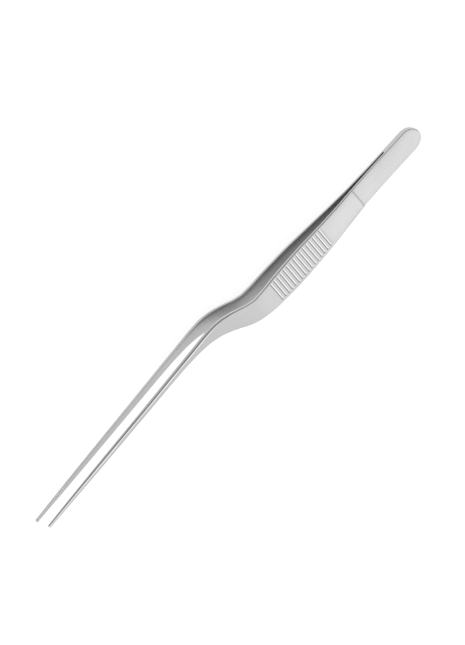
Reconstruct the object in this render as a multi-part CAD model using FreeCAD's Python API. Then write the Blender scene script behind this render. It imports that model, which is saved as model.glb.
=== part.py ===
"""Long bayonet aquascaping tweezers, in millimetres.

X runs from the rear end to the tips, Z is the way the arms open, and the crank carries the slim shanks
towards -Y. The two arms mirror each other in the plane z = 0. Each arm is one strip of steel: its rear
part, the tang, is welded to a spacer, and it bends at the cross line at BEND_X. The model is built with
x = 0 at the rear end and moved at the end, so that the origin is the centre of the whole tool's box.
"""
import FreeCAD, Part
import math
import os

# Driving dimensions
LENGTH = 250.0
TANG_HALF_WIDTH = 5.2
REAR_ROUND = 6.6            # length of the half ellipse that ends the tangs
WELD_END = 18.5             # the spacer and its welds stop here
BEND_X = 42.0               # cross line where an arm starts to spread
BEND_CLEARANCE = 0.05       # hairline between a tang and its arm, so that the arm can turn
SPACER_T = 1.25
EDGE_EASE = 0.25            # small bevel along the outer edges of the strip

# One arm seen from above: distance from the rear end, distance of the edge from the x axis towards -Y
CRANK_EDGE = [(42, 5.2), (53, 5.35), (63, 5.7), (72, 6.1), (81, 6.45), (90, 6.5), (98, 6.35),
              (104, 6.05), (109, 6.1), (114, 7.2), (119, 9.3), (124, 11.2), (129, 12.5), (134, 13.0),
              (139, 12.9), (146, 12.4), (160, 11.5), (180, 10.15), (205, 8.6), (230, 6.95), (250, 5.45)]
FAR_EDGE = [(42, -5.45), (53, -5.85), (63, -6.3), (72, -6.55), (81, -6.6), (89, -6.5), (97, -6.0),
            (104, -5.3), (110, -4.2), (115, -2.75), (120, -0.35), (124, 2.15), (129, 4.85), (134, 6.85),
            (140, 8.2), (147, 8.8), (153, 8.85), (160, 8.65), (180, 7.6), (205, 6.25), (230, 5.0), (250, 4.1)]

# One arm seen from the side: height of its inner face over z = 0, and its thickness
INNER_FACE = [(0, 0.625), (18.5, 0.625), (28, 0.72), (35, 0.92), (42, 1.2), (50, 1.85), (61, 2.6),
              (73, 3.2), (82, 3.65), (92, 4.05), (101, 4.5), (112, 4.95), (125, 5.1), (140, 5.2),
              (200, 5.4), (250, 5.4)]
THICKNESS = [(0, 1.3), (42, 1.35), (66, 1.5), (100, 1.75), (112, 1.9), (125, 2.1), (140, 2.2),
             (165, 2.05), (200, 1.7), (250, 1.1)]

# The outer bevels grow through the crank, and the shank is well bevelled outside and flat inside. Each
# gives the share of the half width, or of the thickness, that a bevel takes.
BEVEL_WIDTH_SHARE = [(42, 0.045), (112, 0.06), (128, 0.12), (142, 0.26), (155, 0.34), (200, 0.4),
                     (250, 0.45)]
BEVEL_HEIGHT_SHARE = [(42, 0.18), (112, 0.18), (128, 0.2), (142, 0.22), (155, 0.24), (200, 0.27),
                      (250, 0.3)]
INNER_EASE = 0.12           # bevel of the two inner edges
TIP_ROUND = 0.35
STATION_STEPS = [(BEND_X, 4.0), (96.0, 2.0), (108.0, 1.5), (150.0, 4.0), (170.0, 8.0)]

# Finger grooves across the outer face of the grip. They leave flat ribs between them.
GROOVE_COUNT = 16
GROOVE_FIRST_X = 66.0
GROOVE_PITCH = 2.24
GROOVE_WIDTH = 1.1
GROOVE_DEPTH = 0.26
GROOVE_END_INSET = 1.1      # plain border at each side of the grip
GROOVE_END_RAMP = 0.4

# Cross grooves inside the tips. The lower arm's are half a pitch on, so that the teeth mesh.
TOOTH_COUNT = 18
TOOTH_PITCH = 1.0
TOOTH_DEPTH = 0.2
TOOTH_WIDTH = 0.6
LAST_TOOTH_X = 248.9

# Welds between the tangs and the spacer
NUGGET_RADIUS = 2.0
NUGGET_XS = {"spot_weld_rear": 6.2, "spot_weld_front": 13.6}
NUGGET_REACH = 0.65         # how far a nugget goes into each tang
SEAM_DEPTH = 0.5
SEAM_HEIGHT = 0.8

# Building aids
CUTTER_MARGIN = 0.1         # how far a cutting tool stands out of the face it cuts
REAR_MARGIN = 1.0           # how far a trimming outline reaches past the part it trims
PROFILE_STEPS = 5           # spans of the tangs' bent side profile
SAME_PLACE = 0.05           # points closer than this count as being on the same face

UP = FreeCAD.Vector(0, 0, 1)
SIDEWAYS = FreeCAD.Vector(0, 1, 0)
FORWARD = FreeCAD.Vector(1, 0, 0)


def curve(points):
    """Return a function through the points that never overshoots them (monotone cubic)."""
    xs = [float(x) for x, _ in points]
    ys = [float(y) for _, y in points]
    slopes = [(ys[i + 1] - ys[i]) / (xs[i + 1] - xs[i]) for i in range(len(xs) - 1)]
    tangents = [slopes[0]]
    for before, after in zip(slopes, slopes[1:]):
        same_way = before * after > 0
        tangents.append(2 * before * after / (before + after) if same_way else 0.0)
    tangents.append(slopes[-1])

    def value(x):
        i = sum(1 for start in xs[1:-1] if start <= x)
        step = xs[i + 1] - xs[i]
        t = min(max((x - xs[i]) / step, 0.0), 1.0)
        near = (1 + 2 * t) * (1 - t) ** 2 * ys[i] + t * (1 - t) ** 2 * step * tangents[i]
        far = t * t * (3 - 2 * t) * ys[i + 1] + t * t * (t - 1) * step * tangents[i + 1]
        return near + far

    return value


crank_edge = curve(CRANK_EDGE)
far_edge = curve(FAR_EDGE)
inner_face = curve(INNER_FACE)
thickness = curve(THICKNESS)
bevel_width_share = curve(BEVEL_WIDTH_SHARE)
bevel_height_share = curve(BEVEL_HEIGHT_SHARE)


def outer_face(x):
    return inner_face(x) + thickness(x)


def prism(wire, sweep):
    return Part.Face(wire).extrude(sweep)


def polygon(corners, point):
    """Closed outline through the corners, each turned into a place by point(first, second)."""
    return Part.makePolygon([point(*corner) for corner in corners + corners[:1]])


def rear_outline(inset, x_end, z):
    """Outline of a tang from its rounded rear end to x_end, seen from above."""
    radius_x = REAR_ROUND - inset
    radius_y = TANG_HALF_WIDTH - inset
    middle = FreeCAD.Vector(REAR_ROUND, 0, z)
    rear_point = middle + FreeCAD.Vector(radius_x, 0, 0)
    side_point = middle + FreeCAD.Vector(0, radius_y, 0)
    ellipse = Part.Ellipse(rear_point, side_point, middle)
    arc = Part.ArcOfEllipse(ellipse, math.pi / 2, 3 * math.pi / 2).toShape()
    left = FreeCAD.Vector(REAR_ROUND, radius_y, z)
    right = FreeCAD.Vector(REAR_ROUND, -radius_y, z)
    left_end = FreeCAD.Vector(x_end, radius_y, z)
    right_end = FreeCAD.Vector(x_end, -radius_y, z)
    corners = [right, right_end, left_end, left]
    lines = [Part.makeLine(start, end) for start, end in zip(corners, corners[1:])]
    return Part.Wire(Part.__sortEdges__([arc] + lines))


def side_profile(x_end):
    """Outline of the upper tang seen from the side, on the plane y = -LENGTH."""
    steps = PROFILE_STEPS
    bent_places = [WELD_END + (x_end - WELD_END) * i / steps for i in range(steps + 1)]

    def point(x, height):
        return FreeCAD.Vector(x, -LENGTH, height(x))

    def face_edge(height):
        bent = Part.BSplineCurve()
        bent.interpolate([point(x, height) for x in bent_places])
        return [Part.makeLine(point(-REAR_MARGIN, height), point(WELD_END, height)), bent.toShape()]

    ends = [Part.makeLine(point(x, inner_face), point(x, outer_face)) for x in (-REAR_MARGIN, x_end)]
    return Part.Wire(Part.__sortEdges__(face_edge(inner_face) + face_edge(outer_face) + ends))


def ease_outer_edges(tang, x_end):
    """Bevel the edges round the outer face, but not the one at the bend."""
    def on_outer_face(edge):
        points = edge.discretize(5)
        flat = all(abs(p.z - outer_face(p.x)) < SAME_PLACE for p in points)
        return flat and min(p.x for p in points) < x_end - SAME_PLACE

    return tang.makeChamfer(EDGE_EASE, [edge for edge in tang.Edges if on_outer_face(edge)])


def upper_tang_blank():
    x_end = BEND_X - BEND_CLEARANCE / 2
    plan = prism(rear_outline(0.0, x_end, -LENGTH), UP * (2 * LENGTH))
    side = prism(side_profile(x_end), SIDEWAYS * (2 * LENGTH))
    return ease_outer_edges(plan.common(side), x_end)


def arm_section(x, inset=0.0):
    """Cross section of the upper arm at x, flat inside and bevelled outside.

    The inset moves all its sides in but the inner one.
    """
    low = -crank_edge(x) + inset
    high = -far_edge(x) - inset
    inner = inner_face(x)
    outer = outer_face(x) - inset
    across = (high - low) / 2 * bevel_width_share(x)
    down = (outer - inner) * bevel_height_share(x)
    corners = [
        (low + INNER_EASE, inner), (high - INNER_EASE, inner),
        (high, inner + INNER_EASE), (high, outer - down),
        (high - across, outer), (low + across, outer),
        (low, outer - down), (low, inner + INNER_EASE),
    ]
    return polygon(corners, lambda y, z: FreeCAD.Vector(x, y, z))


def stations():
    """Places of the arm's sections: close together round the crank, wider along the shank."""
    places = [BEND_X + BEND_CLEARANCE / 2]
    tip_shoulder = LENGTH - TIP_ROUND
    while places[-1] < tip_shoulder:
        step = [size for start, size in STATION_STEPS if start <= places[-1]][-1]
        places.append(min(places[-1] + step, tip_shoulder))
    return places


def finger_groove(number):
    """A V groove across the outer face, with ramps at both ends that run out before its edges."""
    x = GROOVE_FIRST_X + GROOVE_PITCH * number
    low = -crank_edge(x) + GROOVE_END_INSET
    high = -far_edge(x) - GROOVE_END_INSET
    top = outer_face(x) + CUTTER_MARGIN
    bottom = outer_face(x) - GROOVE_DEPTH
    flare = 1 + CUTTER_MARGIN / GROOVE_DEPTH
    half = GROOVE_WIDTH / 2 * flare
    ramp = GROOVE_END_RAMP * flare
    low_foot = low + GROOVE_END_RAMP
    high_foot = high - GROOVE_END_RAMP
    across = polygon([(x - half, top), (x, bottom), (x + half, top)],
                     lambda cx, cz: FreeCAD.Vector(cx, low - ramp, cz))
    along = polygon([(low_foot - ramp, top), (low_foot, bottom),
                     (high_foot, bottom), (high_foot + ramp, top)],
                    lambda cy, cz: FreeCAD.Vector(x - half, cy, cz))
    return prism(across, SIDEWAYS * (high - low + 2 * ramp)).common(prism(along, FORWARD * (2 * half)))


def tooth_groove(x):
    """A V groove across the inner face of a tip, from side to side."""
    start = -crank_edge(x) - CUTTER_MARGIN
    length = crank_edge(x) - far_edge(x) + 2 * CUTTER_MARGIN
    bottom = inner_face(x) - CUTTER_MARGIN
    half = TOOTH_WIDTH / 2 * (1 + CUTTER_MARGIN / TOOTH_DEPTH)
    corners = [(x - half, bottom), (x, inner_face(x) + TOOTH_DEPTH), (x + half, bottom)]
    return prism(polygon(corners, lambda cx, cz: FreeCAD.Vector(cx, start, cz)), SIDEWAYS * length)


def arm(tooth_shift):
    """The upper arm from the bend to the tip, with its finger grooves and its teeth."""
    sections = [arm_section(x) for x in stations()] + [arm_section(LENGTH, TIP_ROUND)]
    blank = Part.makeLoft(sections, True, True)
    grooves = [finger_groove(number) for number in range(GROOVE_COUNT)]
    grooves += [tooth_groove(LAST_TOOTH_X - tooth_shift - TOOTH_PITCH * i) for i in range(TOOTH_COUNT)]
    return blank.cut(Part.makeCompound(grooves))


def turned_over(shape):
    """The same piece for the other arm."""
    return shape.mirror(FreeCAD.Vector(0, 0, 0), UP)


def nugget(x):
    reach = SPACER_T / 2 + NUGGET_REACH
    return Part.makeCylinder(NUGGET_RADIUS, 2 * reach, FreeCAD.Vector(x, 0, -reach))


def upper_seam():
    """Weld bead round the rear end, ground flush, where the upper tang meets the spacer."""
    bottom = SPACER_T / 2 - SEAM_HEIGHT / 2
    outside = prism(rear_outline(0.0, WELD_END, bottom), UP * SEAM_HEIGHT)
    inside = prism(rear_outline(SEAM_DEPTH, WELD_END + REAR_MARGIN, bottom), UP * SEAM_HEIGHT)
    return outside.cut(inside)


def build():
    welds = {name: nugget(x) for name, x in NUGGET_XS.items()}
    welds["seam_weld_upper"] = upper_seam()
    welds["seam_weld_lower"] = turned_over(upper_seam())
    spacer = prism(rear_outline(0.0, WELD_END, -SPACER_T / 2), UP * SPACER_T)
    plates = {
        "upper_tang": upper_tang_blank(),
        "lower_tang": turned_over(upper_tang_blank()),
        "rear_spacer": spacer,
    }
    weld_metal = Part.makeCompound(list(welds.values()))
    parts = {name: plate.cut(weld_metal) for name, plate in plates.items()}
    parts.update(welds)
    parts["upper_arm"] = arm(0.0)
    parts["lower_arm"] = turned_over(arm(TOOTH_PITCH / 2))
    return parts


def single_solid(shape):
    solids = shape.Solids
    assert len(solids) == 1 and solids[0].isValid(), "each piece is one sound solid"
    return solids[0]


os.makedirs("parts", exist_ok=True)
pieces = {name: single_solid(shape) for name, shape in build().items()}
box = Part.makeCompound(list(pieces.values())).BoundBox
for name, piece in pieces.items():
    piece.translate(-box.Center)
    piece.exportStep(f"parts/{name}.step")
    print(name, round(piece.Volume, 2), "mm3")
print("centre of the box in the rear-end frame:", box.Center)
print("size:", box.XLength, box.YLength, box.ZLength)
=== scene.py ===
"""Looks of the bayonet aquascaping tweezers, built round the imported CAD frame.

Sizes are in millimetres until a mesh is made. x runs from the rear end to the tips, z is the way the
arms open, and the crank goes towards -y.
"""
import math

import bpy
from mathutils import Matrix, Vector


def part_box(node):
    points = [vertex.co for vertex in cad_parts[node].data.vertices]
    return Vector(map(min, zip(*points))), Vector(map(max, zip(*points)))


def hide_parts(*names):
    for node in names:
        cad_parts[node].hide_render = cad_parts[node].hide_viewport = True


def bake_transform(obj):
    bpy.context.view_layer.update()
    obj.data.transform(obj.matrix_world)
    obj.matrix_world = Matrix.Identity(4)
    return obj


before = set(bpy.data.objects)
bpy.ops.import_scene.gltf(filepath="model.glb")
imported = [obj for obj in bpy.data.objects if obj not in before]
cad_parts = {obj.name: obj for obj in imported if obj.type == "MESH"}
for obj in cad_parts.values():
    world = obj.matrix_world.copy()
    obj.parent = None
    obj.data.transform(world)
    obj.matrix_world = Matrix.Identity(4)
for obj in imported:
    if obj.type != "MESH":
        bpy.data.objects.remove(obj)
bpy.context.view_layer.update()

MM = 0.001

# Where the CAD puts the tool: its rear end and the middle of its tangs
TANG_LOW, TANG_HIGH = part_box("upper_tang")
REAR_X = TANG_LOW.x
AXIS_Y = (TANG_LOW.y + TANG_HIGH.y) / 2

# Driving dimensions, the same as the CAD part's
LENGTH = 250.0
TANG_HALF_WIDTH = 5.2
REAR_ROUND = 6.6            # length of the half ellipse that ends the tangs
WELD_END = 18.5             # the spacer and its welds stop here
BEND_X = 42.0               # cross line where an arm starts to spread
GRIP_START = 65.0           # the leaf's bend has run out here
EDGE_EASE = 0.25            # bevel along the tangs' outer edges
INNER_EASE = 0.12           # rounding of the inner edges
TIP_ROUND = 0.35

# One arm seen from above: distance from the rear end, distance of the edge from the x axis towards -y
CRANK_EDGE = [(42, 5.2), (53, 5.35), (63, 5.7), (72, 6.1), (81, 6.45), (90, 6.5), (98, 6.35),
              (104, 6.05), (109, 6.1), (114, 7.2), (119, 9.3), (124, 11.2), (129, 12.5), (134, 13.0),
              (139, 12.9), (146, 12.4), (160, 11.5), (180, 10.15), (205, 8.6), (230, 6.95), (250, 5.45)]
FAR_EDGE = [(42, -5.45), (53, -5.85), (63, -6.3), (72, -6.55), (81, -6.6), (89, -6.5), (97, -6.0),
            (104, -5.3), (110, -4.2), (115, -2.75), (120, -0.35), (124, 2.15), (129, 4.85), (134, 6.85),
            (140, 8.2), (147, 8.8), (153, 8.85), (160, 8.65), (180, 7.6), (205, 6.25), (230, 5.0),
            (250, 4.1)]

# One arm seen from the side: height of its inner face over z = 0, and its thickness
INNER_FACE = [(0, 0.625), (18.5, 0.625), (28, 0.72), (35, 0.92), (42, 1.2), (50, 1.85), (61, 2.6),
              (73, 3.2), (82, 3.65), (92, 4.05), (101, 4.5), (112, 4.95), (125, 5.1), (140, 5.2),
              (200, 5.4), (250, 5.4)]
THICKNESS = [(0, 1.3), (42, 1.35), (66, 1.5), (100, 1.75), (112, 1.9), (125, 2.1), (140, 2.2),
             (165, 2.05), (200, 1.7), (250, 1.1)]

# Shares of the half width, and of the thickness, that the outer bevels take
BEVEL_WIDTH_SHARE = [(42, 0.045), (112, 0.06), (128, 0.12), (142, 0.26), (155, 0.34), (200, 0.4),
                     (250, 0.45)]
BEVEL_HEIGHT_SHARE = [(42, 0.18), (112, 0.18), (128, 0.2), (142, 0.22), (155, 0.24), (200, 0.27),
                      (250, 0.3)]

# The outer face falls by the crown from its middle to its edges
CROWN = [(0, 0.15), (38, 0.15), (50, 0.22), (66, 0.1), (104, 0.06), (145, 0.04), (250, 0.03)]
CROWN_POWER = 3.0

# Finger grooves. The ramps at their ends start and finish at these distances from each edge bevel.
GROOVE_COUNT = 16
GROOVE_FIRST_X = 66.0
GROOVE_PITCH = 2.24
GROOVE_HALF = 0.55
GROOVE_DEPTH = 0.26
CRANK_SIDE_RAMP = (0.1, 0.45)
FAR_SIDE_RAMP = (0.8, 1.25)

# Painted highlight, a paler and glossier steel, on the grooves' rear walls, and on a ridge beside the
# bevel from the crank on
GROOVE_HIGHLIGHT = 0.5
SHANK_START = 125.0
SHANK_GROWTH = 20.0
RIDGE_WIDTH = 0.5

# Painted shade that darkens the steel off its open faces: 0 is like the faces, and 1 like the grooves'
# front walls
# Painted shade in the teeth's hollows
TOOTH_SHADE = 0.3
# Painted shade on the bevels, standing in for the dark surroundings they reflect
BEVEL_SHADE = 0.5
# Painted shade in the cross line's valley
CROSS_LINE_SHADE = 0.64
# Painted contact shadow on the lower arm's walls near the table
LOWER_WALL_SHADOW = 0.15
# Painted shade on the upper arm's walls along the shank
SHANK_WALL_SHADE = 0.5
# Painted shade on the inner faces, where the arms face each other
INNER_SHADE = [(108, 0.0), (122, 0.3), (140, 0.28), (160, 0.16), (250, 0.16)]
SHADE_LINE_PLACE = 0.3           # the painted shade line lies this far in front of the middle of each finger groove
SHADE_LINE_HALF = 0.42

# Teeth inside the tips
TOOTH_COUNT = 18
TOOTH_PITCH = 1.0
TOOTH_HALF = 0.3
TOOTH_DEPTH = 0.2
LAST_TOOTH_X = 248.9

# The cross line where an arm starts to spread is a shallow pressed valley
VALLEY_HALF = 0.7
VALLEY_DEPTH = 0.045

# The weld strips sit in a shallow rebate of the arm's side, so that no two surfaces share a place
REBATE_TOP = 1.02
REBATE_DEPTH = 0.06
REBATE_STEP = 0.01

# Columns of an arm's cross section, as shares of the width or as counts
INNER_COLUMNS = [0.2, 0.4, 0.6, 0.8]
TOP_COLUMNS = [0.01, 0.019, 0.028, 0.038, 0.064, 0.073, 0.082, 0.092, 0.104, 0.15, 0.2, 0.27, 0.35, 0.5]
BEVEL_STEPS = 6
CORNER_STEPS = 3
WALL_STEPS = 3
BEVEL_BULGE = 0.25          # 0 is a flat bevel and 1 a quarter round
SHARP_ANGLE = 32.0          # edges that turn by more degrees than this stay crisp

# Places of the cross sections along x
REAR_ANGLES = (1, 2, 3, 4.5, 6, 8, 10, 12, 14.5, *range(17, 90, 4))     # degrees round the rear end
TANG_STEPS = 8
WELD_END_GAP = 0.005        # half the length in which the weld's rebate ends
LEAF_STEPS = 14
VALLEY_STEPS = 5
GRIP_REAR_PLACES = (BEND_X + 2.0, 2.0, 11)      # the first place, the step and the count
CRANK_PLACES = (102.5, 0.9, 56)
SHANK_PLACES = (153.0, 3.0, 26)
GROOVE_STEPS = (0.0, 0.22, 0.42, 0.62, 0.82, 1.0)
TOOTH_STEPS = 2
TIP_STEPS = 5


# ---------------------------------------------------------------------------------- the arms' shape

def curve(points):
    """Return a function through the points that never overshoots them (monotone cubic)."""
    xs = [float(x) for x, _ in points]
    ys = [float(y) for _, y in points]
    slopes = [(ys[i + 1] - ys[i]) / (xs[i + 1] - xs[i]) for i in range(len(xs) - 1)]
    tangents = [slopes[0]]
    for before, after in zip(slopes, slopes[1:]):
        same_way = before * after > 0
        tangents.append(2 * before * after / (before + after) if same_way else 0.0)
    tangents.append(slopes[-1])

    def value(x):
        i = sum(1 for start in xs[1:-1] if start <= x)
        step = xs[i + 1] - xs[i]
        t = min(max((x - xs[i]) / step, 0.0), 1.0)
        near = (1 + 2 * t) * (1 - t) ** 2 * ys[i] + t * (1 - t) ** 2 * step * tangents[i]
        far = t * t * (3 - 2 * t) * ys[i + 1] + t * t * (t - 1) * step * tangents[i + 1]
        return near + far

    return value


crank_edge = curve(CRANK_EDGE)
far_edge = curve(FAR_EDGE)
inner_face = curve(INNER_FACE)
thickness = curve(THICKNESS)
bevel_width_share = curve(BEVEL_WIDTH_SHARE)
bevel_height_share = curve(BEVEL_HEIGHT_SHARE)
crown = curve(CROWN)
inner_shade = curve(INNER_SHADE)


def outer_face(x):
    return inner_face(x) + thickness(x)


def smooth(t):
    t = min(max(t, 0.0), 1.0)
    return t * t * (3 - 2 * t)


def edges_at(x, inset):
    """The two sides (low y, high y) of an arm at x, moved in by inset all round its outline."""
    if x < REAR_ROUND:
        reach = min(1.0, (REAR_ROUND - x) / (REAR_ROUND - inset))
        half = (TANG_HALF_WIDTH - inset) * math.sqrt(1 - reach * reach)
        return -half, half
    if x < BEND_X:
        return -TANG_HALF_WIDTH + inset, TANG_HALF_WIDTH - inset
    return -crank_edge(x) + inset, -far_edge(x) - inset


def from_groove(x):
    """Distance along x from the nearest finger groove."""
    nearest = min(max(round((x - GROOVE_FIRST_X) / GROOVE_PITCH), 0), GROOVE_COUNT - 1)
    return x - GROOVE_FIRST_X - nearest * GROOVE_PITCH


def groove_depth(x):
    return GROOVE_DEPTH * smooth(1 - abs(from_groove(x)) / GROOVE_HALF)


def valley_depth(x):
    return VALLEY_DEPTH * smooth(1 - abs(x - BEND_X) / VALLEY_HALF)


def tooth_depth(x, shift):
    last = LAST_TOOTH_X - shift
    nearest = min(max(round((last - x) / TOOTH_PITCH), 0), TOOTH_COUNT - 1)
    away = abs(x - last + nearest * TOOTH_PITCH)
    return TOOTH_DEPTH * max(0.0, 1 - away / TOOTH_HALF)


def bevel_drop(share):
    """The part of its height that a bevel has dropped, at a share of its width from the arm's side."""
    flat = 1 - share
    round_ = 1 - math.sqrt(1 - (1 - share) ** 2)
    return flat + (round_ - flat) * BEVEL_BULGE


def bevel_size(x):
    """Width and height of the outer bevels at x."""
    if x < BEND_X:
        return EDGE_EASE, EDGE_EASE
    low, high = edges_at(x, 0.0)
    return (high - low) / 2 * bevel_width_share(x), thickness(x) * bevel_height_share(x)


def outer_half(x, side, tip_inset):
    """Points of the outer side from a wall's top to the middle, for side 0 (crank side) or 1 (far side).

    Each point has its kind of place: bevel, face, ridge, or grooved within the finger grooves' reach.
    """
    across, down = bevel_size(x)
    outer = outer_face(x) - tip_inset - valley_depth(x)
    reach = min(x, across)
    points = []
    for i in range(BEVEL_STEPS + 1):
        inset = min(across * i / BEVEL_STEPS, reach)
        y = edges_at(x, inset + tip_inset)[side]
        kind = "bevel" if i < BEVEL_STEPS else "face"
        points.append((y, outer - down * bevel_drop(inset / across) - crown(x), kind))
    top = edges_at(x, reach + tip_inset)
    lowered = down * bevel_drop(reach / across)
    width = abs(top[1] - top[0])
    ramp_start, ramp_end = (CRANK_SIDE_RAMP, FAR_SIDE_RAMP)[side]
    for share in TOP_COLUMNS:
        y = top[side] + (top[1 - side] - top[side]) * share
        cut_share = smooth((share * width - ramp_start) / (ramp_end - ramp_start))
        crowned = outer - lowered - crown(x) * (1 - 2 * share) ** CROWN_POWER
        height = crowned - groove_depth(x) * cut_share
        kind = "grooved" if cut_share > 0 else "face"
        if side == 0 and share * width < RIDGE_WIDTH:
            kind = "ridge"
        points.append((y, height, kind))
    return points


def wall(x, side, tip_inset):
    """Points up one side of an arm, from its inner edge to the foot of the bevel."""
    inner = inner_face(x)
    foot = outer_face(x) - tip_inset - bevel_size(x)[1] - valley_depth(x) - crown(x)
    welded = x < WELD_END
    ease = 0.0 if welded else INNER_EASE
    heights = [inner + ease + (foot - inner - ease) * i / WALL_STEPS for i in range(1, WALL_STEPS)]
    if welded:
        heights = [REBATE_TOP, REBATE_TOP + REBATE_STEP]
    points = []
    for i in range(CORNER_STEPS + 1):
        turn = math.pi / 2 * i / CORNER_STEPS
        inset = ease * (1 - math.sin(turn)) + tip_inset + (REBATE_DEPTH if welded else 0.0)
        points.append((edges_at(x, inset)[side], inner + ease * (1 - math.cos(turn)), "wall"))
    rebates = [REBATE_DEPTH if welded else 0.0, 0.0]
    for height, rebate in zip(heights, rebates):
        points.append((edges_at(x, tip_inset + rebate)[side], height, "wall"))
    return points


def ring(x, shift, tip_inset):
    """Cross section of the upper arm at x, as a closed loop of (y, z, kind)."""
    up_high = wall(x, 1, tip_inset)
    up_low = wall(x, 0, tip_inset)
    over_high = outer_half(x, 1, tip_inset)
    over_low = outer_half(x, 0, tip_inset)
    first, last = up_low[0][0], up_high[0][0]
    inner = [(first + (last - first) * share, inner_face(x), "inner") for share in INNER_COLUMNS]
    loop = inner + up_high + over_high + over_low[-2::-1] + up_low[::-1]
    floor = inner_face(x) + tooth_depth(x, shift)
    return [(y, max(z, floor), kind) for y, z, kind in loop]


def evenly(start, step, count):
    """Count places along x, a step apart."""
    return [start + i * step for i in range(count)]


def stations(shift):
    """Places of an arm's cross sections along x, each with how far it is moved in to round the tip."""
    places = [REAR_ROUND * (1 - math.cos(math.radians(angle))) for angle in REAR_ANGLES]
    places += [REAR_ROUND + (WELD_END - REAR_ROUND) * i / TANG_STEPS for i in range(TANG_STEPS)]
    places += [WELD_END - WELD_END_GAP, WELD_END + WELD_END_GAP]
    places += [WELD_END + (BEND_X - WELD_END) * i / LEAF_STEPS for i in range(1, LEAF_STEPS)]
    places += [BEND_X + VALLEY_HALF * i / VALLEY_STEPS for i in range(-VALLEY_STEPS, VALLEY_STEPS + 1)]
    places += evenly(*GRIP_REAR_PLACES) + evenly(*CRANK_PLACES) + evenly(*SHANK_PLACES)
    for groove in range(GROOVE_COUNT):
        middle = GROOVE_FIRST_X + GROOVE_PITCH * groove
        places += [middle + side * GROOVE_HALF * step for side in (-1, 1) for step in GROOVE_STEPS]
        places += [middle + GROOVE_PITCH / 2]
    for tooth in range(TOOTH_COUNT):
        middle = LAST_TOOTH_X - shift - TOOTH_PITCH * tooth
        places += [middle + TOOTH_HALF * i / TOOTH_STEPS for i in range(-TOOTH_STEPS, TOOTH_STEPS + 1)]
    places = sorted(place for place in set(places) if place < LENGTH - TIP_ROUND)
    made = [(place, 0.0) for place in places]
    for i in range(TIP_STEPS + 1):
        turn = math.pi / 2 * i / TIP_STEPS
        made.append((LENGTH - TIP_ROUND * (1 - math.sin(turn)), TIP_ROUND * (1 - math.cos(turn))))
    return made


def to_frame(x, y, z):
    """A place in the CAD frame, in metres, from millimetres along, across and above the tool's axis."""
    return Vector((REAR_X + x * MM, AXIS_Y + y * MM, z * MM))


def arm_mesh(name, side, shift):
    """One whole arm, from the rear end to the tip. Side 1 is the upper arm, and -1 the lower one."""
    places = stations(shift)
    rings = [ring(x, shift, inset) for x, inset in places]
    count = len(rings[0])
    vertices = [to_frame(x, y, z * side) for (x, _), loop in zip(places, rings) for y, z, _ in loop]
    faces = []
    for r in range(len(rings) - 1):
        for c in range(count):
            a, b = r * count + c, r * count + (c + 1) % count
            faces.append((a, a + count, b + count, b))
    faces.append(tuple(range(count)))
    faces.append(tuple(range((len(rings) - 1) * count, len(rings) * count))[::-1])
    if side < 0:
        faces = [face[::-1] for face in faces]
    mesh = bpy.data.meshes.new(name)
    mesh.from_pydata(vertices, [], faces)
    points = [(x, kind) for (x, _), loop in zip(places, rings) for _, _, kind in loop]
    # Painted highlight and painted shade, stored at the mesh's points for the material
    looks = {
        "painted_highlight": [painted_highlight_at(x, kind) for x, kind in points],
        "painted_shade": [painted_shade_at(x, kind, shift, side) for x, kind in points],
    }
    for attribute, values in looks.items():
        mesh.attributes.new(attribute, "FLOAT", "POINT").data.foreach_set("value", values)
    mesh.validate()
    mesh.shade_smooth()
    mesh.set_sharp_from_angle(angle=math.radians(SHARP_ANGLE))
    piece = bpy.data.objects.new(name, mesh)
    bpy.context.scene.collection.objects.link(piece)
    return piece


def shank_share(x):
    """0 behind the crank, and 1 along the shank."""
    return smooth((x - SHANK_START) / SHANK_GROWTH)


def painted_shade_at(x, kind, shift, side):
    """How much painted shade darkens the steel: 0 on open faces, and 1 on the front walls of the finger
    grooves.
    """
    # Painted shade in the teeth's hollows and on the inner faces where the arms face each other
    if kind == "inner":
        tooth = TOOTH_SHADE * min(1.0, 2 * tooth_depth(x, shift) / TOOTH_DEPTH)
        return max(tooth, inner_shade(x))
    # Painted contact shadow on the lower arm's walls, and painted shade on the upper shank's walls
    if kind == "wall":
        return LOWER_WALL_SHADOW if side < 0 else SHANK_WALL_SHADE * shank_share(x)
    # Painted shade on the bevels
    if kind == "bevel" and x > BEND_X + VALLEY_HALF:
        return BEVEL_SHADE
    # Painted shade on the grooves' front walls and in the cross line's valley
    front = smooth(1 - abs(from_groove(x) - SHADE_LINE_PLACE) / SHADE_LINE_HALF) if kind == "grooved" else 0.0
    return max(front, CROSS_LINE_SHADE * valley_depth(x) / VALLEY_DEPTH)


def painted_highlight_at(x, kind):
    """How strong the painted highlight is: 1 on the shank's ridge, and less on the grooves' rear walls.
    """
    if kind == "grooved":
        return GROOVE_HIGHLIGHT * smooth(1 - abs(from_groove(x) + GROOVE_HALF / 2) / (GROOVE_HALF / 2))
    return shank_share(x) if kind == "ridge" else 0.0


# ---------------------------------------------------------------------------------------- materials

# Paler steel colour for the painted highlight, the share of the base colour for painted shade, and how
# far the grain spreads the steel's colour and gloss
HIGHLIGHT_STEEL = (0.92, 0.92, 0.92, 1.0)
SHADE_SHARE = 0.5
GRAIN_DARK = 0.93
GRAIN_LIGHT = 1.05
GRAIN_GLOSS = 0.05
CLOUD_GLOSS = 0.04
HIGHLIGHT_POLISH = 0.08

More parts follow.
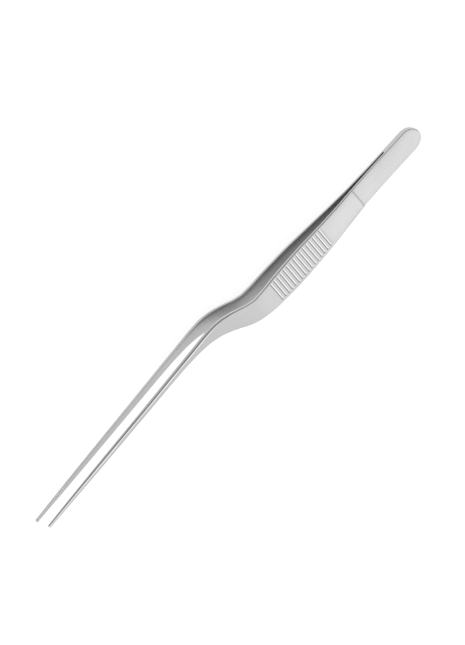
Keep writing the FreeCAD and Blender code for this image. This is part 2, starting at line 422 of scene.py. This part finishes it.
# Waves of each texture per metre along x, y and z, and heights of the fine relief in metres
GRAIN_SCALE = (90.0, 5200.0, 5200.0)
SPECKLE_SCALE = (5200.0, 5200.0, 5200.0)
CLOUD_SCALE = (90.0, 160.0, 160.0)
FIBRE_SCALE = (60.0, 60.0, 60.0)
GRAIN_HEIGHT = 0.00004
SPECKLE_HEIGHT = 0.00003
SPECKLE_SHARE = 0.6

# The floor's paper glows a little, so that it stays pale in the tool's soft shadow
PAPER_DARK = (0.19, 0.19, 0.19, 1.0)
PAPER_LIGHT = (0.21, 0.21, 0.21, 1.0)
PAPER_ROUGHNESS = 0.9
PAPER_GLOW = 0.87

WHITE = (1.0, 1.0, 1.0, 1.0)

# Socket numbers of a colour mix node
MIX_SHARE, MIX_FIRST, MIX_SECOND, MIX_RESULT = 0, 6, 7, 2


class Nodes:
    """A small helper that adds nodes to one tree and links them."""

    def __init__(self, tree):
        self.tree = tree

    def fill(self, socket, value):
        """Link the value to the socket if it is another socket, or else set it."""
        if isinstance(value, bpy.types.NodeSocket):
            self.tree.links.new(value, socket)
        else:
            socket.default_value = value

    def add(self, kind, inputs=(), **settings):
        node = self.tree.nodes.new(kind)
        for key, value in settings.items():
            setattr(node, key, value)
        for name, value in dict(inputs).items():
            self.fill(node.inputs[name], value)
        return node

    def noise(self, scale, detail=4.0):
        """A texture in object coordinates, scaled by axis, so that it can run along the tool."""
        place = self.add("ShaderNodeTexCoord").outputs["Object"]
        vector = self.add("ShaderNodeMapping", {"Vector": place, "Scale": scale}).outputs["Vector"]
        texture = self.add("ShaderNodeTexNoise", {"Vector": vector, "Scale": 1.0, "Detail": detail})
        return texture.outputs["Fac"]

    def attribute(self, name):
        """A value that the mesh stores at its points."""
        return self.add("ShaderNodeAttribute", attribute_name=name).outputs["Fac"]

    def spread(self, value, low, high):
        """Map a 0 to 1 value onto low to high."""
        span = {"Value": value, "To Min": low, "To Max": high}
        return self.add("ShaderNodeMapRange", span).outputs["Result"]

    def mixed(self, share, first, second):
        """A colour between first and second."""
        sockets = {MIX_SHARE: share, MIX_FIRST: first, MIX_SECOND: second}
        return self.add("ShaderNodeMix", sockets, data_type="RGBA").outputs[MIX_RESULT]

    def maths(self, operation, first, second):
        return self.add("ShaderNodeMath", {0: first, 1: second}, operation=operation).outputs[0]


def new_material(name):
    material = bpy.data.materials.new(name)
    material.use_nodes = True
    return material, Nodes(material.node_tree)


def set_shader(nodes, values):
    """Set or link the main shader's inputs."""
    shader = nodes.tree.nodes["Principled BSDF"]
    for name, value in values.items():
        nodes.fill(shader.inputs[name], value)


def satin_steel(name, base, roughness, grain):
    """Ground and blasted stainless steel: grain along x and cloudy gloss, with a painted highlight on
    ridges and painted shade in hollows, on bevels and on walls.
    """
    material, nodes = new_material(name)
    streaks = nodes.noise(GRAIN_SCALE)
    speckle = nodes.noise(SPECKLE_SCALE, detail=2.0)
    clouds = nodes.noise(CLOUD_SCALE, detail=3.0)
    # Painted highlight mask, which also makes the steel glossier
    painted_highlight = nodes.attribute("painted_highlight")
    shades = (GRAIN_DARK, GRAIN_LIGHT, SHADE_SHARE)
    dark, light, shaded = ((*(channel * shade for channel in base), 1.0) for shade in shades)
    grained = nodes.mixed(streaks, dark, light)
    # Painted shade: the colour darkens towards half the base where the shade mask is high
    with_shade = nodes.mixed(nodes.attribute("painted_shade"), grained, shaded)
    soft_gloss = nodes.spread(clouds, roughness - CLOUD_GLOSS, roughness + CLOUD_GLOSS)
    gloss = nodes.maths("ADD", nodes.spread(streaks, -GRAIN_GLOSS, GRAIN_GLOSS), soft_gloss)
    polish = nodes.maths("MULTIPLY", painted_highlight, -HIGHLIGHT_POLISH)
    fine = nodes.add("ShaderNodeBump", {"Height": speckle, "Strength": grain * SPECKLE_SHARE,
                                        "Distance": SPECKLE_HEIGHT})
    relief = nodes.add("ShaderNodeBump", {"Height": streaks, "Strength": grain, "Distance": GRAIN_HEIGHT,
                                          "Normal": fine.outputs["Normal"]})
    set_shader(nodes, {
        # Painted highlight: the colour turns to a paler steel where the highlight mask is high
        "Base Color": nodes.mixed(painted_highlight, with_shade, HIGHLIGHT_STEEL),
        "Metallic": 1.0,
        "Roughness": nodes.maths("ADD", gloss, polish),
        "Normal": relief.outputs["Normal"],
    })
    return material


def white_paper():
    """The matt paper under the tool."""
    material, nodes = new_material("white_paper")
    set_shader(nodes, {
        "Base Color": nodes.mixed(nodes.noise(FIBRE_SCALE), PAPER_DARK, PAPER_LIGHT),
        "Roughness": PAPER_ROUGHNESS,
        "Emission Color": WHITE,
        "Emission Strength": PAPER_GLOW,
    })
    return material


def paint(piece, material):
    piece.data.materials.clear()
    piece.data.materials.append(material)


# --------------------------------------------------------------------------------------- the pieces

def build_arms(steel):
    """The two arms, each one strip of steel that bends along its leaf."""
    for name, side, shift in (("upper", 1, 0.0), ("lower", -1, TOOTH_PITCH / 2)):
        piece = arm_mesh(f"{name}_arm_steel", side, shift)
        paint(piece, steel)
        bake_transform(piece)
        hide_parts(f"{name}_tang", f"{name}_arm")


def dress_cad_nodes(steel, weld):
    """The spacer and the welds show as their CAD solids."""
    for name in ("spot_weld_rear", "spot_weld_front", "seam_weld_upper", "seam_weld_lower"):
        paint(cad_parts[name], weld)
    paint(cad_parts["rear_spacer"], steel)


# --------------------------------------------------------------------------------------- the studio

REST_X = 0.3                # the lower tang's rear edge touches the table here
FLOOR_SIZE = 60.0           # metres

# The softbox above the handle: the way to it, and its distance, size and power in metres and watts
SOFTBOX_DIRECTION = (-0.36, 0.33, 0.53)
SOFTBOX_DISTANCE = 0.72
SOFTBOX_SIZE = 0.3
SOFTBOX_POWER = 0.16

# The studio seen from the tool. Each zone has its direction, the cosines where it starts and where it is
# full, the light that it adds, and the shape of its edge.
STUDIO_BASE = 0.3
STUDIO_ZONES = [((0.55, 0.7, 0.45), -0.6, 0.68, 0.7, "LINEAR"),
                ((0.65, 0.45, 0.6), 0.8, 0.97, 0.55, "SMOOTHSTEP")]

# The view is steep and rolled: the tool runs from the top right to the bottom left
CAMERA_RIGHT = Vector((-0.66189, 0.56687, 0.49057))
CAMERA_UP = Vector((-0.71997, -0.66302, -0.20514))
CAMERA_TARGET = (122.95, -2.87, -0.18)
FRAME_HEIGHT = 0.2896       # metres
LENS = 1200.0
SENSOR = 36.0
CLIP_START = 0.05
CLIP_END = 50.0


def build_floor():
    """A pale table top, tilted as the tool sees it when it lies on its rear end and its lower grip."""
    rear = outer_face(REST_X)
    places = range(round(GRIP_START), round(LENGTH))
    slope = max((outer_face(x) - rear) / (x - REST_X) for x in places)
    bpy.ops.mesh.primitive_plane_add(size=FLOOR_SIZE, location=to_frame(REST_X, 0, -rear))
    floor = bpy.context.object
    floor.name = "floor"
    floor.rotation_euler = (0.0, math.atan(slope), 0.0)
    paint(floor, white_paper())


def build_softbox():
    """The round light that gives the handle its highlight."""
    data = bpy.data.lights.new("handle_softbox", "AREA")
    data.shape = "DISK"
    data.size = SOFTBOX_SIZE
    data.energy = SOFTBOX_POWER
    lamp = bpy.data.objects.new("handle_softbox", data)
    away = Vector(SOFTBOX_DIRECTION).normalized()
    lamp.location = away * SOFTBOX_DISTANCE
    lamp.rotation_mode = "QUATERNION"
    lamp.rotation_quaternion = away.to_track_quat("Z", "Y")
    bpy.context.scene.collection.objects.link(lamp)


def build_world():
    """A pale studio round the tool: bright towards the tips, +y and overhead, dim towards the rear."""
    world = bpy.data.worlds.new("studio")
    bpy.context.scene.world = world
    world.use_nodes = True
    nodes = Nodes(world.node_tree)
    place = nodes.add("ShaderNodeTexCoord").outputs["Generated"]
    light = STUDIO_BASE
    for direction, start, full, amount, shape in STUDIO_ZONES:
        sockets = {0: place, 1: Vector(direction).normalized()}
        cosine = nodes.add("ShaderNodeVectorMath", sockets, operation="DOT_PRODUCT").outputs["Value"]
        span = {"Value": cosine, "From Min": start, "From Max": full, "To Min": 0.0, "To Max": amount}
        zone = nodes.add("ShaderNodeMapRange", span, interpolation_type=shape).outputs["Result"]
        light = nodes.maths("ADD", zone, light)
    background = nodes.tree.nodes["Background"]
    nodes.fill(background.inputs["Strength"], light)
    nodes.fill(background.inputs["Color"], WHITE)


def build_camera():
    """A far camera with a long lens, so that the view is almost without perspective."""
    back = CAMERA_RIGHT.cross(CAMERA_UP).normalized()
    data = bpy.data.cameras.new("camera")
    data.lens = LENS
    data.sensor_width = SENSOR
    data.clip_start = CLIP_START
    data.clip_end = CLIP_END
    camera = bpy.data.objects.new("camera", data)
    distance = FRAME_HEIGHT * LENS / SENSOR
    turn = Matrix((CAMERA_RIGHT, CAMERA_UP, back)).transposed().to_4x4()
    camera.matrix_world = Matrix.Translation(to_frame(*CAMERA_TARGET) + back * distance) @ turn
    bpy.context.scene.collection.objects.link(camera)
    bpy.context.scene.camera = camera


def set_view_transform():
    """Show the render's colours as they are, so that the paper can be as pale as in the photo."""
    bpy.context.scene.view_settings.view_transform = "Standard"
    bpy.context.scene.view_settings.look = "None"


arm_steel = satin_steel("satin_stainless", base=(0.57, 0.57, 0.57), roughness=0.3, grain=0.5)
weld_steel = satin_steel("ground_weld", base=(0.55, 0.55, 0.55), roughness=0.36, grain=0.6)
build_arms(arm_steel)
dress_cad_nodes(arm_steel, weld_steel)
build_floor()
build_softbox()
build_world()
build_camera()
set_view_transform()
